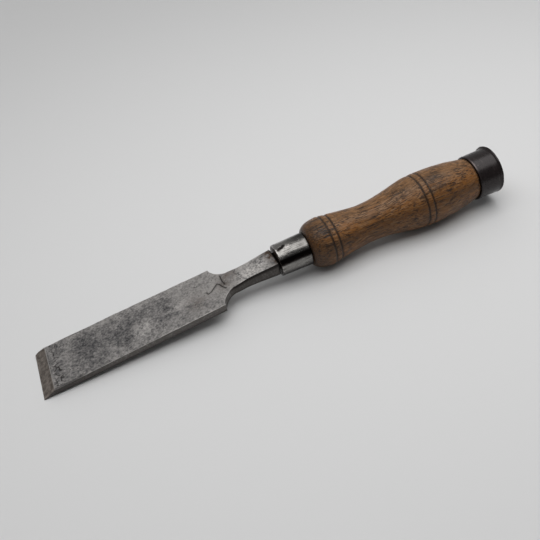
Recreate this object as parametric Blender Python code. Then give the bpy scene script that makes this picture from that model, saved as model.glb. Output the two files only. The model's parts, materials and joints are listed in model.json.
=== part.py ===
"""A firmer chisel with a ferrule and a striking hoop, lying on its cutting edge and on the swell of its handle.

Units are metres, with +Z up and +X from the cutting edge towards the butt. Each piece is modelled on the handle's
axis, which is the X axis, with the cutting edge at x = 0. One empty then lays the whole tool down on z = 0.
"""

import math

import bmesh
import bpy
import numpy as np

# Every pair of pieces that touch keeps this gap.
CLEARANCE = 0.0003

# Blade: heights are measured from the handle's axis.
EDGE_WIDTH = 0.0329
SHOULDER_WIDTH = 0.0303
BLADE_LENGTH = 0.1026
EDGE_DROP = 0.01008
HEEL_DROP = 0.00483
BEVEL_LENGTH = 0.0067
BEVEL_THICKNESS = 0.00334
SHOULDER_THICKNESS = 0.0047
EDGE_LAND = 0.00015

# Shoulders: a hollow quarter curve in plan. A hollow of 2 is a true ellipse, and 1 is a straight slope.
SHOULDER_LENGTH = 0.0087
SHOULDER_HOLLOW = 1.7
SHOULDER_STEPS = 10

# Neck
NECK_LENGTH = 0.02645
NECK_ROOT_WIDTH = 0.0134
NECK_WAIST_WIDTH = 0.0120
NECK_WAIST_AT = 0.0087
NECK_END_WIDTH = 0.0136
NECK_END_RISE = 0.0038
NECK_END_DROP = 0.0040
NECK_STEPS = 8

# Tang, a plain square taper inside the handle
TANG_LENGTH = 0.060
TANG_WIDTH = 0.0085
TANG_HEIGHT = 0.0062
TANG_TIP = 0.0030

# Ferrule: the mouth is the open gap between the neck's end and the tube.
FERRULE_MOUTH = 0.0009
FERRULE_LENGTH = 0.0180
FERRULE_FRONT_DIAMETER = 0.0179
FERRULE_REAR_DIAMETER = 0.0186
FERRULE_WALL = 0.0011
FERRULE_ROUND = 0.0003

# Handle: the bead is the full front end, then come the waist, the swell and the barrel.
SHOULDER_ROUND = 0.0111
BEAD_DIAMETER = 0.0280
BEAD_TO_WAIST = 0.0223
WAIST_DIAMETER = 0.0222
WAIST_TO_SWELL = 0.03985
SWELL_DIAMETER = 0.0316
SWELL_TO_HOOP = 0.03015
BARREL_END_DIAMETER = 0.0238
WAIST_FALL = 1.18
SWELL_RISE = 1.25
BARREL_FALL = 1.82
BUTT_PROUD = 0.0008
BUTT_ROUND = 0.0016

# Cut lines, in pairs: one line of each pair lies this far from the bead's or the swell's crown.
LINE_WIDTH = 0.0012
LINE_DEPTH = 0.0005
LINE_PITCH = 0.0039
BEAD_LINE_BEHIND = 0.00065
SWELL_LINE_AHEAD = 0.0006

# Striking hoop
HOOP_LENGTH = 0.0142
HOOP_FRONT_DIAMETER = 0.0262
HOOP_REAR_DIAMETER = 0.0264
HOOP_WALL = 0.0018
HOOP_ROUND = 0.0003
LIP_DIAMETER = 0.0284
LIP_LENGTH = 0.0015
LIP_FLARE = 0.0007

# Fineness of the turned pieces
ROUND_SIDES = 36
TURNED_STEP = 0.0030
ROUND_STEPS = 7

# Places along the axis that more than one piece uses
SHOULDER_END = BLADE_LENGTH + SHOULDER_LENGTH
NECK_END = SHOULDER_END + NECK_LENGTH
FERRULE_FRONT = NECK_END + FERRULE_MOUTH
FERRULE_REAR = FERRULE_FRONT + FERRULE_LENGTH
WOOD_SHOULDER = FERRULE_REAR + CLEARANCE
BEAD_CROWN = WOOD_SHOULDER + SHOULDER_ROUND
WAIST = BEAD_CROWN + BEAD_TO_WAIST
SWELL_CROWN = WAIST + WAIST_TO_SWELL
BARREL_END = SWELL_CROWN + SWELL_TO_HOOP
HOOP_FRONT = BARREL_END + CLEARANCE
HOOP_REAR = HOOP_FRONT + HOOP_LENGTH
BUTT = HOOP_REAR + BUTT_PROUD

# Linear colour, roughness and metallic value of each material
FORGED_STEEL = ((0.19, 0.18, 0.17), 0.45, 1.0)
WORN_STEEL = ((0.36, 0.35, 0.32), 0.35, 1.0)
TURNED_WOOD = ((0.14, 0.075, 0.035), 0.60, 0.0)
BLACK_STEEL = ((0.025, 0.023, 0.023), 0.45, 1.0)


def ease(share):
    """Runs from 0 to 1 as share does, level at both ends."""
    return (1.0 - math.cos(math.pi * share)) / 2.0


def between(first, last, share):
    return first + (last - first) * share


def clear_scene():
    for obj in list(bpy.data.objects):
        bpy.data.objects.remove(obj, do_unlink=True)


def make_material(name, look):
    colour, roughness, metallic = look
    material = bpy.data.materials.new(name)
    material.use_nodes = True
    shader = material.node_tree.nodes["Principled BSDF"]
    shader.inputs["Base Color"].default_value = (*colour, 1.0)
    shader.inputs["Roughness"].default_value = roughness
    shader.inputs["Metallic"].default_value = metallic
    return material


def make_object(name, body, material=None):
    """Turns a bmesh into an object, with its faces pointing out."""
    bmesh.ops.recalc_face_normals(body, faces=body.faces)
    mesh = bpy.data.meshes.new(name)
    body.to_mesh(mesh)
    body.free()
    obj = bpy.data.objects.new(name, mesh)
    bpy.context.scene.collection.objects.link(obj)
    if material is not None:
        mesh.materials.append(material)
    return obj


def shade_round(obj):
    obj.data.shade_smooth()
    obj.data.set_sharp_from_angle(angle=math.radians(35.0))


def join_rings(body, rings):
    """Faces between each ring of points and the next, and a lid on each end."""
    loops = [[body.verts.new(point) for point in ring] for ring in rings]
    for ring, following in zip(loops, loops[1:]):
        for here in range(len(ring)):
            there = (here + 1) % len(ring)
            body.faces.new((ring[here], ring[there], following[there], following[here]))
    body.faces.new(loops[0])
    body.faces.new(loops[-1])


def rectangle(x, half_width, bottom, top):
    return [(x, -half_width, bottom), (x, half_width, bottom), (x, half_width, top), (x, -half_width, top)]


def circle(x, radius):
    """A ring of points about the axis, with a flat side straight down."""
    turn = 2.0 * math.pi / ROUND_SIDES
    angles = [turn * (side + 0.5) - math.pi / 2.0 for side in range(ROUND_SIDES)]
    return [(x, radius * math.cos(angle), radius * math.sin(angle)) for angle in angles]


def blade_bottom(x):
    """Height of the flat back, a straight line from the cutting edge to the shoulder."""
    return between(-EDGE_DROP, -HEEL_DROP, x / BLADE_LENGTH)


def blade_sections():
    """Rectangles from the cutting edge to the shoulder corners."""
    bevel_top = blade_bottom(BEVEL_LENGTH) + BEVEL_THICKNESS
    bevel_width = between(EDGE_WIDTH, SHOULDER_WIDTH, BEVEL_LENGTH / BLADE_LENGTH)
    shoulder_top = SHOULDER_THICKNESS - HEEL_DROP
    yield rectangle(0.0, EDGE_WIDTH / 2.0, -EDGE_DROP, EDGE_LAND - EDGE_DROP)
    yield rectangle(BEVEL_LENGTH, bevel_width / 2.0, blade_bottom(BEVEL_LENGTH), bevel_top)
    yield rectangle(BLADE_LENGTH, SHOULDER_WIDTH / 2.0, -HEEL_DROP, shoulder_top)


def neck_top(x):
    share = (x - BLADE_LENGTH) / (NECK_END - BLADE_LENGTH)
    return between(SHOULDER_THICKNESS - HEEL_DROP, NECK_END_RISE, share)


def shoulder_sections():
    """Rectangles along the hollow curve from the shoulder corners to the root of the neck."""
    corner = SHOULDER_WIDTH / 2.0
    root = NECK_ROOT_WIDTH / 2.0
    for step in range(1, SHOULDER_STEPS + 1):
        share = ease(step / SHOULDER_STEPS / 2.0) * 2.0
        x = between(BLADE_LENGTH, SHOULDER_END, share)
        hollow = (1.0 - (1.0 - share) ** SHOULDER_HOLLOW) ** (1.0 / SHOULDER_HOLLOW)
        bottom = between(-HEEL_DROP, -NECK_END_DROP, ease(share))
        yield rectangle(x, between(corner, root, hollow), bottom, neck_top(x))


def neck_width(along):
    if along < NECK_WAIST_AT:
        return between(NECK_ROOT_WIDTH, NECK_WAIST_WIDTH, ease(along / NECK_WAIST_AT))
    share = (along - NECK_WAIST_AT) / (NECK_LENGTH - NECK_WAIST_AT)
    return between(NECK_WAIST_WIDTH, NECK_END_WIDTH, ease(share))


def neck_sections():
    for step in range(1, NECK_STEPS + 1):
        along = NECK_LENGTH * step / NECK_STEPS
        x = SHOULDER_END + along
        yield rectangle(x, neck_width(along) / 2.0, -NECK_END_DROP, neck_top(x))


def tang_sections(root_x, spare):
    """The tang from root_x to its tip, or its socket when spare is the clearance round it."""
    half_height = TANG_HEIGHT / 2.0 + spare
    half_tip = TANG_TIP / 2.0 + spare
    yield rectangle(root_x, TANG_WIDTH / 2.0 + spare, -half_height, half_height)
    yield rectangle(NECK_END + TANG_LENGTH + spare, half_tip, -half_tip, half_tip)


def make_blade():
    body = bmesh.new()
    sections = [*blade_sections(), *shoulder_sections(), *neck_sections(), *tang_sections(NECK_END, 0.0)]
    join_rings(body, sections)
    return make_object("blade", body, make_material("forged_steel", FORGED_STEEL))


def make_ring(name, outside, bore, material):
    """A turned ring: its outside profile as (x, radius) points from front to rear, round a plain bore."""
    front, rear = outside[0][0], outside[-1][0]
    profile = [*outside, (rear, bore), (front, bore)]
    body = bmesh.new()
    loops = [[body.verts.new(point) for point in circle(x, radius)] for x, radius in profile]
    for number, ring in enumerate(loops):
        following = loops[(number + 1) % len(loops)]
        for here in range(ROUND_SIDES):
            there = (here + 1) % ROUND_SIDES
            body.faces.new((ring[here], ring[there], following[there], following[here]))
    obj = make_object(name, body, material)
    shade_round(obj)
    return obj


def ferrule_bore():
    return FERRULE_FRONT_DIAMETER / 2.0 - FERRULE_WALL


def make_ferrule():
    front = FERRULE_FRONT_DIAMETER / 2.0
    rear = FERRULE_REAR_DIAMETER / 2.0
    outside = [
        (FERRULE_FRONT, front - FERRULE_ROUND),
        (FERRULE_FRONT + FERRULE_ROUND, front),
        (FERRULE_REAR - FERRULE_ROUND, rear),
        (FERRULE_REAR, rear - FERRULE_ROUND),
    ]
    return make_ring("ferrule", outside, ferrule_bore(), make_material("worn_steel", WORN_STEEL))


def hoop_bore():
    return HOOP_FRONT_DIAMETER / 2.0 - HOOP_WALL


def make_hoop():
    front = HOOP_FRONT_DIAMETER / 2.0
    rear = HOOP_REAR_DIAMETER / 2.0
    lip = LIP_DIAMETER / 2.0
    outside = [
        (HOOP_FRONT, front - HOOP_ROUND),
        (HOOP_FRONT + HOOP_ROUND, front),
        (HOOP_REAR - LIP_LENGTH, rear),
        (HOOP_REAR - LIP_LENGTH + LIP_FLARE, lip),
        (HOOP_REAR - HOOP_ROUND, lip),
        (HOOP_REAR, lip - HOOP_ROUND),
    ]
    return make_ring("striking_hoop", outside, hoop_bore(), make_material("black_steel", BLACK_STEEL))


def turned_radius(x):
    """Radius of the handle's show face, without its cut lines, from the front shoulder to the barrel's end."""
    bead, waist = BEAD_DIAMETER / 2.0, WAIST_DIAMETER / 2.0
    swell, end = SWELL_DIAMETER / 2.0, BARREL_END_DIAMETER / 2.0
    if x < BEAD_CROWN:
        ahead = (BEAD_CROWN - x) / SHOULDER_ROUND
        return between(FERRULE_REAR_DIAMETER / 2.0, bead, math.sqrt(max(0.0, 1.0 - ahead * ahead)))
    if x < WAIST:
        return between(waist, bead, ((WAIST - x) / BEAD_TO_WAIST) ** WAIST_FALL)
    if x < SWELL_CROWN:
        return between(waist, swell, ease(((x - WAIST) / WAIST_TO_SWELL) ** SWELL_RISE))
    return between(swell, end, ((x - SWELL_CROWN) / SWELL_TO_HOOP) ** BARREL_FALL)


def cut_lines():
    """Middle of each cut line along the axis."""
    bead_line = BEAD_CROWN + BEAD_LINE_BEHIND
    swell_line = SWELL_CROWN - SWELL_LINE_AHEAD
    return [bead_line, bead_line + LINE_PITCH, swell_line - LINE_PITCH, swell_line]


def show_face():
    """Profile of the turned face as (x, radius), with a V for each cut line."""
    shoulder = [BEAD_CROWN - SHOULDER_ROUND * math.cos(math.pi / 2.0 * step / ROUND_STEPS) for step in range(ROUND_STEPS)]
    count = math.ceil((BARREL_END - BEAD_CROWN) / TURNED_STEP)
    lengths = [between(BEAD_CROWN, BARREL_END, step / count) for step in range(count + 1)]
    lines = cut_lines()
    plain = [x for x in shoulder + lengths if all(abs(x - line) > LINE_WIDTH for line in lines)]
    points = [(x, turned_radius(x)) for x in plain]
    for line in lines:
        points += [(line + side, turned_radius(line + side)) for side in (-LINE_WIDTH / 2.0, LINE_WIDTH / 2.0)]
        points.append((line, turned_radius(line) - LINE_DEPTH))
    return sorted(points)


def make_handle():
    front_spigot = ferrule_bore() - CLEARANCE
    rear_spigot = hoop_bore() - CLEARANCE
    profile = [
        (FERRULE_FRONT, front_spigot),
        (WOOD_SHOULDER, front_spigot),
        *show_face(),
        (BARREL_END, rear_spigot),
        (BUTT - BUTT_ROUND, rear_spigot),
        (BUTT, rear_spigot - BUTT_ROUND),
    ]
    body = bmesh.new()
    join_rings(body, [circle(x, radius) for x, radius in profile])
    obj = make_object("handle", body, make_material("turned_wood", TURNED_WOOD))
    shade_round(obj)
    return obj


def cut_socket(handle):
    """The hole burnt in for the tang, open at the front of the handle."""
    body = bmesh.new()
    join_rings(body, list(tang_sections(NECK_END, CLEARANCE)))
    cutter = make_object("tang_socket", body)
    cutter.hide_render = True
    cutter.display_type = "WIRE"
    cut = handle.modifiers.new("tang_socket", "BOOLEAN")
    cut.operation = "DIFFERENCE"
    cut.object = cutter
    return cutter


def points_of(pieces):
    return np.array([tuple(vertex.co) for piece in pieces for vertex in piece.data.vertices])


def lay_down(pieces, helpers):
    """Tilts the tool until the swell touches the ground with the cutting edge, centred over the origin."""
    points = points_of(pieces)
    behind = points[points[:, 0] > BEVEL_LENGTH]
    tilt = math.atan(np.max((-EDGE_DROP - behind[:, 2]) / behind[:, 0]))
    x = points[:, 0] * math.cos(tilt) - points[:, 2] * math.sin(tilt)
    z = points[:, 0] * math.sin(tilt) + points[:, 2] * math.cos(tilt)
    rest = bpy.data.objects.new("rest", None)
    bpy.context.scene.collection.objects.link(rest)
    rest.rotation_euler = (0.0, -tilt, 0.0)
    rest.location = (-(x.min() + x.max()) / 2.0, 0.0, -z.min())
    for obj in [*pieces, *helpers]:
        obj.parent = rest


def main():
    clear_scene()
    blade = make_blade()
    ferrule = make_ferrule()
    handle = make_handle()
    hoop = make_hoop()
    socket = cut_socket(handle)
    lay_down([blade, ferrule, handle, hoop], [socket])


main()
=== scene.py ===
"""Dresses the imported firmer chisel: worn steel blade, bright ferrule, turned wooden handle and black hoop.

Every surface is a grid of points worked out with numpy in the tool's own axes: u along the handle's axis
from the cutting edge to the butt, v across the blade, and w up from the axis. Lengths are metres and
colours are linear.
"""

import json
import math
from collections import namedtuple

import bpy
import numpy as np
from bpy.props import FloatProperty, FloatVectorProperty, PointerProperty
from mathutils import Matrix, Vector


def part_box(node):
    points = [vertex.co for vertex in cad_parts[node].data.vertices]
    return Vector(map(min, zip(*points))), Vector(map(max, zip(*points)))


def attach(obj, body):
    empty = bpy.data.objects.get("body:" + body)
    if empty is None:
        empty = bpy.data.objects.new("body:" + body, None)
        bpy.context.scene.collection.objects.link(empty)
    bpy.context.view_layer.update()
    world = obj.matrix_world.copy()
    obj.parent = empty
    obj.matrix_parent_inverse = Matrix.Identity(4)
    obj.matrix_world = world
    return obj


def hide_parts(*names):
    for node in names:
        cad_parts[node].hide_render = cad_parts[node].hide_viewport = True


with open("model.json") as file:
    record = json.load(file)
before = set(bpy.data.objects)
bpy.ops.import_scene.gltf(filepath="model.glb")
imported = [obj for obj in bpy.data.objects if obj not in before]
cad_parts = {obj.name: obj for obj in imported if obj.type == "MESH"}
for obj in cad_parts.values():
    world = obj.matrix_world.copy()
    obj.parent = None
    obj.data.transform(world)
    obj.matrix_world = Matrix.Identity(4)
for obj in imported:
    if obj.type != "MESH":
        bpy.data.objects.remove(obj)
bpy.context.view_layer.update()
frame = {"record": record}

bl_info = {
    "name": "Firmer chisel",
    "version": (1, 0, 0),
    "blender": (4, 5, 0),
    "location": "View3D > Sidebar > Chisel",
    "description": "Blade, ferrule, handle and hoop of a worn firmer chisel, with its stage",
    "category": "Object",
}

BODY = "root"
EDGE_LAND = 0.00015


def tool_frame():
    """The tool's axes, from its struck end and its cutting edge in the frame."""
    butt = next(mount for mount in frame["record"]["mounts"] if mount["name"] == "butt")
    along = Vector(butt["axis"]).normalized()
    across = Vector((0.0, 1.0, 0.0))
    edge = Vector((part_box("blade")[0].x, 0.0, EDGE_LAND))
    struck = Vector(butt["pos_m"])
    origin = struck - along * (struck - edge).dot(along)
    axes = Matrix((along, across, along.cross(across))).transposed().to_4x4()
    axes.translation = origin
    return axes


TOOL = tool_frame()


# Property groups


def length(name, default, description):
    return FloatProperty(
        name=name, default=default, description=description, precision=5, subtype="DISTANCE", unit="LENGTH"
    )


def share(name, default, description):
    return FloatProperty(name=name, default=default, description=description, precision=3)


def heading(name, degrees, description):
    return FloatProperty(name=name, default=math.radians(degrees), description=description, subtype="ANGLE")


def colour(name, default, description):
    return FloatVectorProperty(
        name=name, default=default, description=description, size=3, min=0.0, max=1.0, subtype="COLOR"
    )


class BladeSizes(bpy.types.PropertyGroup):
    """Sizes of the forging. Heights are measured from the handle's axis."""

    edge_width: length("Edge width", 0.0328, "Width across the cutting edge")
    shoulder_width: length("Shoulder width", 0.0303, "Width at the shoulder corners")
    blade_length: length("Blade length", 0.1026, "Cutting edge to shoulder corners")
    edge_drop: length("Edge drop", 0.010079, "Flat back below the axis at the cutting edge")
    heel_drop: length("Heel drop", 0.00483, "Flat back below the axis at the shoulder")
    bevel_length: length("Bevel length", 0.0067, "Length of the ground bevel")
    bevel_skew: length("Bevel skew", 0.0003, "How much longer the bevel is on its near side")
    bevel_thickness: length("Bevel thickness", 0.00334, "Thickness behind the bevel")
    shoulder_thickness: length("Shoulder thickness", 0.0047, "Thickness at the shoulder")
    edge_land: length("Edge land", EDGE_LAND, "Thickness left at the cutting edge")
    arris: length("Arris", 0.00022, "Radius worn on the long edges")
    shoulder_length: length("Shoulder length", 0.0087, "Length of the hollow shoulder curve")
    shoulder_hollow: share("Shoulder hollow", 1.7, "Power of the shoulder curve, 2 for an ellipse")
    neck_length: length("Neck length", 0.02645, "Shoulder to ferrule")
    neck_root_width: length("Neck root width", 0.0134, "Width where the shoulder ends")
    neck_waist_width: length("Neck waist width", 0.0120, "Least width of the neck")
    neck_waist_at: length("Neck waist place", 0.0087, "Distance of the waist behind the shoulder")
    neck_end_width: length("Neck end width", 0.0136, "Width at the ferrule")
    neck_end_rise: length("Neck end rise", 0.0038, "Top of the neck above the axis at the ferrule")
    neck_end_drop: length("Neck end drop", 0.0040, "Underside of the neck below the axis")
    neck_chamfer: length("Neck chamfer", 0.0006, "Worn end of the neck in front of the ferrule")
    tang_length: length("Tang length", 0.060, "Length of the tang inside the handle")
    tang_width: length("Tang width", 0.0085, "Width of the tang at its root")
    tang_height: length("Tang height", 0.0062, "Height of the tang at its root")
    tang_tip: length("Tang tip", 0.0030, "Side of the square tip")


class FerruleSizes(bpy.types.PropertyGroup):
    """Sizes of the tube on the front of the handle."""

    clearance: length("Clearance", 0.0003, "Gap kept between pieces that touch")
    mouth: length("Mouth", 0.0009, "Gap between the neck and the tube")
    tube_length: length("Length", 0.0180, "Length of the tube")
    front_diameter: length("Front diameter", 0.0179, "Outside diameter at the front")
    rear_diameter: length("Rear diameter", 0.0186, "Outside diameter at the rear")
    wall: length("Wall", 0.0011, "Thickness of the tube at the front")
    rim: length("Rim", 0.0003, "Radius of the worn rims")


class HandleSizes(bpy.types.PropertyGroup):
    """Sizes of the turned handle."""

    shoulder_round: length("Shoulder round", 0.0111, "Length of the rounded front shoulder")
    bead_diameter: length("Bead diameter", 0.0279, "Diameter of the full front end")
    bead_to_waist: length("Bead to waist", 0.0223, "Length of the fall to the waist")
    waist_diameter: length("Waist diameter", 0.0222, "Least diameter of the grip")
    waist_to_swell: length("Waist to swell", 0.03985, "Length of the rise to the swell")
    swell_diameter: length("Swell diameter", 0.0313, "Greatest diameter")
    swell_to_hoop: length("Swell to hoop", 0.03015, "Length of the barrel")
    barrel_end_diameter: length("Barrel end diameter", 0.0238, "Diameter of the wood at the hoop")
    waist_fall: share("Waist fall", 1.18, "Power of the curve from bead to waist")
    swell_rise: share("Swell rise", 1.25, "Power that delays the rise to the swell")
    barrel_fall: share("Barrel fall", 1.82, "Power of the curve from swell to hoop")
    butt_proud: length("Butt proud", 0.00079, "Wood standing out of the hoop")
    butt_round: length("Butt round", 0.0016, "Worn edge of the struck end")
    line_width: length("Line width", 0.0015, "Width of a cut line")
    line_depth: length("Line depth", 0.0005, "Depth of a cut line")
    line_pitch: length("Line pitch", 0.0039, "Distance between the lines of a pair")
    bead_line_behind: length("Bead line behind", 0.00065, "Front line's distance behind the bead's crown")
    swell_line_ahead: length("Swell line ahead", 0.0006, "Rear line's distance ahead of the swell's crown")


class HoopSizes(bpy.types.PropertyGroup):
    """Sizes of the striking hoop."""

    hoop_length: length("Length", 0.0142, "Length of the hoop")
    front_diameter: length("Front diameter", 0.0262, "Outside diameter at the front")
    rear_diameter: length("Rear diameter", 0.0264, "Outside diameter ahead of the lip")
    wall: length("Wall", 0.0018, "Thickness at the front")
    rim: length("Rim", 0.0003, "Radius of the worn rims")
    lip_diameter: length("Lip diameter", 0.0287, "Diameter of the hammered rear lip")
    lip_length: length("Lip length", 0.0015, "Length of the lip")
    lip_flare: length("Lip flare", 0.0007, "Length over which the lip flares out")


class FinishColours(bpy.types.PropertyGroup):
    """Linear colours of the finishes and of the floor."""

    steel_light: colour("Light steel", (0.50, 0.475, 0.455), "Bare worn steel")
    steel_bright: colour("Bright steel", (0.78, 0.75, 0.72), "Rubbed patches on the blade and neck")
    steel_dark: colour("Dark steel", (0.055, 0.055, 0.060), "Blue-grey oxide on the blade")
    steel_flank: colour("Flank steel", (0.115, 0.106, 0.098), "Dull sides of the forging")
    # Also the colour of painted shade on the blade's sides and neck, and of the painted dark reflection and
    # shade on the ferrule.
    steel_pit_and_shade: colour("Pitted steel", (0.016, 0.013, 0.012), "Pits, seams and grime")
    steel_stain: colour("Stained steel", (0.090, 0.062, 0.046), "Brown stain")
    bevel_steel: colour("Ground bevel", (0.34, 0.295, 0.262), "Bare steel of the bevel")
    bevel_dark: colour("Dark bevel", (0.075, 0.062, 0.050), "Brown stain on the bevel")
    ferrule_steel: colour("Ferrule steel", (0.325, 0.315, 0.300), "Bright worn tube")
    ferrule_dull: colour("Dull ferrule", (0.10, 0.096, 0.090), "Dull patches on the tube")
    hoop_black: colour("Hoop black", (0.018, 0.0135, 0.0135), "Blackened steel")
    # Also the painted highlight on the lit side of the hoop's front rim.
    hoop_worn_and_highlit: colour("Hoop worn", (0.20, 0.162, 0.156), "Black worn thin on the rims")
    wood_mid: colour("Wood", (0.134, 0.062, 0.021), "Main colour of the wood")
    wood_warm: colour("Warm wood", (0.215, 0.087, 0.021), "Orange streaks")
    # Also the painted shade on the front shoulder and low on the near side.
    wood_dark_and_shade: colour("Dark wood", (0.050, 0.023, 0.0085), "Pores and dark grain")
    # Also the painted sheen on the top of the handle.
    wood_worn_and_sheen: colour("Worn wood", (0.255, 0.134, 0.058), "Rubbed and dusty wood")
    # Also the painted shadow at the joints with the ferrule and the hoop.
    wood_grime_and_shade: colour("Grime", (0.012, 0.008, 0.006), "Dirt in lines and dents")
    floor: colour("Floor", (0.66, 0.66, 0.66), "Pale floor")


# Numbers on grids

WAVES = 36
WAVE_SPREAD = (0.7, 1.4)


def between(first, last, part):
    return first + (last - first) * part


def limit(part):
    return np.clip(part, 0.0, 1.0)


def ease(part):
    """From 0 to 1, level at both ends: half of one minus the cosine."""
    return (1.0 - np.cos(np.pi * limit(part))) / 2.0


def rise(value, start, reach):
    """Eased from 0 at a start to 1 a reach further on."""
    return ease((value - start) / reach)


def fall(value, end, reach):
    """Eased to 0 at an end from 1 a reach before it."""
    return ease((end - value) / reach)


def bell(part):
    """A bell curve: 1 in the middle, and about a third at 1 to either side."""
    return np.exp(-(part**2))


def round_bell(angle, middle, width):
    """A bell curve round the axis, the same after a full turn."""
    away = np.abs((angle - middle + np.pi) % (2.0 * np.pi) - np.pi)
    return bell(away / width)


def strongest(*layers):
    return np.max(np.broadcast_arrays(*layers), axis=0)


def places(*stretches):
    """Points along a path. A stretch is its start, end and count, and only the last keeps its end."""
    runs = [np.linspace(start, end, count, endpoint=False) for start, end, count in stretches]
    return np.concatenate([*runs, [stretches[-1][1]]])


def ripples(points, wavelength, seed):
    """Smooth noise of about unit height: cosine waves of random heading and phase near one wavelength."""
    draw = np.random.default_rng(seed)
    headings = draw.normal(size=(WAVES, 3))
    headings /= np.linalg.norm(headings, axis=1, keepdims=True)
    pace = 2.0 * np.pi / (wavelength * draw.uniform(*WAVE_SPREAD, WAVES))
    phase = draw.uniform(0.0, 2.0 * np.pi, WAVES)
    angles = points.reshape(-1, 3) @ (headings * pace[:, None]).T + phase
    return (np.cos(angles).sum(axis=1) * math.sqrt(2.0 / WAVES)).reshape(points.shape[:-1])


def hollows(where, centres, radii):
    """Depth from 0 to 1 of round hollows: one less the squared distance in radii, squared."""
    depth = np.zeros(where.shape[:-1])
    for centre, radius in zip(centres, radii):
        distance = ((where - centre) ** 2).sum(axis=-1) / radius**2
        depth = np.maximum(depth, limit(1.0 - distance) ** 2)
    return depth


def near_line(where, points, width):
    """1 on a bent line, falling to 0 at half its width: the distance to the nearest of its straight runs."""
    best = np.full(where.shape[:-1], np.inf)
    for first, last in zip(points, points[1:]):
        run = np.subtract(last, first)
        part = limit(((where - first) @ run) / (run @ run))
        gap = np.linalg.norm(where - first - part[..., None] * run, axis=-1)
        best = np.minimum(best, gap)
    return limit(1.0 - best / (width / 2.0))


def soft_spots(u, v, spots):
    """Soft round clouds: a bell curve of the distance from each middle over its radius, times a strength."""
    cloud = np.zeros(u.shape)
    for middle_u, middle_v, radius, strength in spots:
        cloud += strength * bell(np.hypot(u - middle_u, v - middle_v) / radius)
    return cloud


# Meshes


def closed_surface(name, grid, ring=False, marks=None):
    """A mesh from points on a grid of rows along a path and columns round it. A ring's last row meets its
    first. Any other surface ends in a fan on the middle of its first row and of its last. Marks are float
    attributes.
    """
    rows, columns = grid.shape[:2]
    index = np.arange(rows * columns).reshape(rows, columns)
    here = index if ring else index[:-1]
    onward = np.roll(index, -1, axis=0) if ring else index[1:]
    quads = np.stack((here, np.roll(here, -1, axis=1), np.roll(onward, -1, axis=1), onward), axis=-1)
    points = grid.reshape(-1, 3)
    faces = quads.reshape(-1, 4).tolist()
    if not ring:
        points = np.concatenate((points, [grid[0].mean(axis=0), grid[-1].mean(axis=0)]))
        ends = np.full(columns, rows * columns)
        faces += np.stack((ends, np.roll(index[0], -1), index[0]), axis=-1).tolist()
        faces += np.stack((ends + 1, index[-1], np.roll(index[-1], -1)), axis=-1).tolist()
    turn = np.array(TOOL.to_3x3())
    mesh = bpy.data.meshes.new(name)
    mesh.from_pydata(points @ turn.T + np.array(TOOL.translation), [], faces)
    for mark, values in (marks or {}).items():
        spare = np.zeros(len(points) - values.size)
        layer = mesh.attributes.new(mark, "FLOAT", "POINT")
        layer.data.foreach_set("value", np.concatenate((values.ravel(), spare)).astype(np.float32))
    mesh.shade_smooth()
    piece = bpy.data.objects.new(name, mesh)
    bpy.context.scene.collection.objects.link(piece)
    return piece


def dress(piece, material, node):
    """Puts a finished piece on the tool's body in place of its CAD node."""
    piece.data.materials.append(material)
    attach(piece, BODY)
    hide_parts(node)


def turned(path_u, radius, columns):
    """A surface of circles about the axis, each of the path's radius, which may change round it."""
    angle = np.linspace(0.0, 2.0 * np.pi, columns, endpoint=False)
    radius = np.broadcast_to(radius, (len(path_u), columns))
    along = np.broadcast_to(path_u[:, None], radius.shape)
    return np.stack((along, radius * np.cos(angle), radius * np.sin(angle)), axis=-1), angle


def push_out(grid, angle, push):
    """Moves the points of a turned surface away from the axis."""
    grid[..., 1] += push * np.cos(angle)
    grid[..., 2] += push * np.sin(angle)


def round_rim(u, radius, size, start, end, steps=5):
    """Points on an arc in the plane of the profile, about its centre, between two angles."""
    angle = np.linspace(start, end, steps)
    return np.stack((u + size * np.cos(angle), radius + size * np.sin(angle)), axis=-1)


def straight(first, last, count, skip_first=True, skip_last=True):
    """Points from one to the next, with or without either end."""
    run = np.linspace(first, last, count + skip_first + skip_last)
    return run[int(skip_first):len(run) - int(skip_last)]


# Finishes


class Layer:
    """One output of a node in a finish. Layers add to and multiply with each other and plain numbers."""

    def __init__(self, finish, socket):
        self.finish = finish
        self.socket = socket

    def math(self, operation, other):
        inputs = {"Value": self, "Value_001": other}
        return self.finish.node("ShaderNodeMath", inputs, "Value", operation=operation)

    def __add__(self, other):
        return self.math("ADD", other)

    def __mul__(self, other):
        return self.math("MULTIPLY", other)

    def most(self, other):
        return self.math("MAXIMUM", other)

    def step(self, low, high, to_low=0.0, to_high=1.0):
        """A smooth step between two limits."""
        inputs = {"Value": self, "From Min": low, "From Max": high, "To Min": to_low, "To Max": to_high}
        return self.finish.node("ShaderNodeMapRange", inputs, "Result", interpolation_type="SMOOTHSTEP")


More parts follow.
